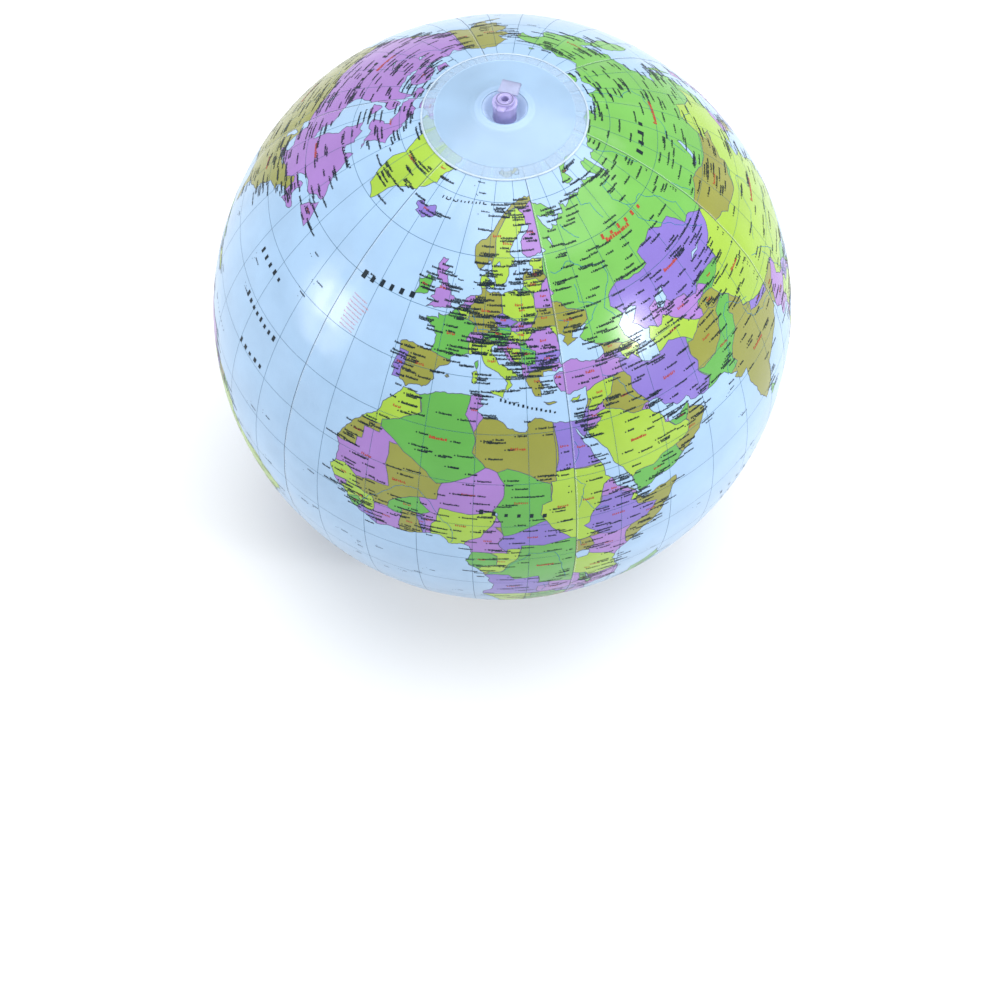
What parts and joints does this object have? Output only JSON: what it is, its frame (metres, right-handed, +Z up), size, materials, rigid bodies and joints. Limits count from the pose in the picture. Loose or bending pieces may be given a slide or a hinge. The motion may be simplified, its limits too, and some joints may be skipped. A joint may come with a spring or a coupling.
{
  "type": "inflatable globe ball",
  "caption": "Inflatable globe ball of welded, map-printed gores with round polar caps and a push-in air valve closed by a tethered stopper.",
  "frame": {"origin": "where the polar axis meets the floor, at the middle of the flat foot of the south cap", "axes": "+Z up the polar axis to the valve at the north pole; longitude 0 faces -Y and 90 degrees east faces +X"},
  "size_m": [0.3, 0.3, 0.3179],
  "materials": {
    "printed_film": "glossy PVC film printed in flat colours",
    "cap_film": "glossy translucent pale blue PVC film with embossed weld rings",
    "valve_pvc": "clear soft PVC with a lilac tint",
    "stopper_pvc": "clear soft PVC with a lilac tint",
    "flap_film": "clear thin PVC film"
  },
  "bodies": {
    "ball": {"gore_1": "printed_film", "gore_2": "printed_film", "gore_3": "printed_film", "gore_4": "printed_film", "gore_5": "printed_film", "gore_6": "printed_film", "north_cap": "cap_film", "south_cap": "cap_film", "valve_flange": "valve_pvc", "valve_diaphragm": "valve_pvc"},
    "valve_stem": {"valve_stem": "valve_pvc", "tether_root": "valve_pvc"},
    "check_flap": {"check_flap": "flap_film"},
    "stopper": {"stopper": "stopper_pvc", "tether_tip": "valve_pvc"}
  },
  "joints": [
    {"name": "valve_slide", "type": "slide", "parent": "ball", "child": "valve_stem", "axis": [0, 0, 1], "range_m": [0, 0.012], "deforming": ["valve_diaphragm"]},
    {"name": "stopper_hinge", "type": "hinge", "parent": "valve_stem", "child": "stopper", "pos_m": [0, 0.0115, 0.31642], "axis": [-1, 0, 0], "range_deg": [0, 170]},
    {"name": "check_flap_hinge", "type": "hinge", "parent": "valve_stem", "child": "check_flap", "pos_m": [0, 0.0048, 0.30084], "axis": [1, 0, 0], "range_deg": [0, 40], "stiffness_Nm_per_rad": 0.0002, "springref_deg": -17.19}
  ]
}
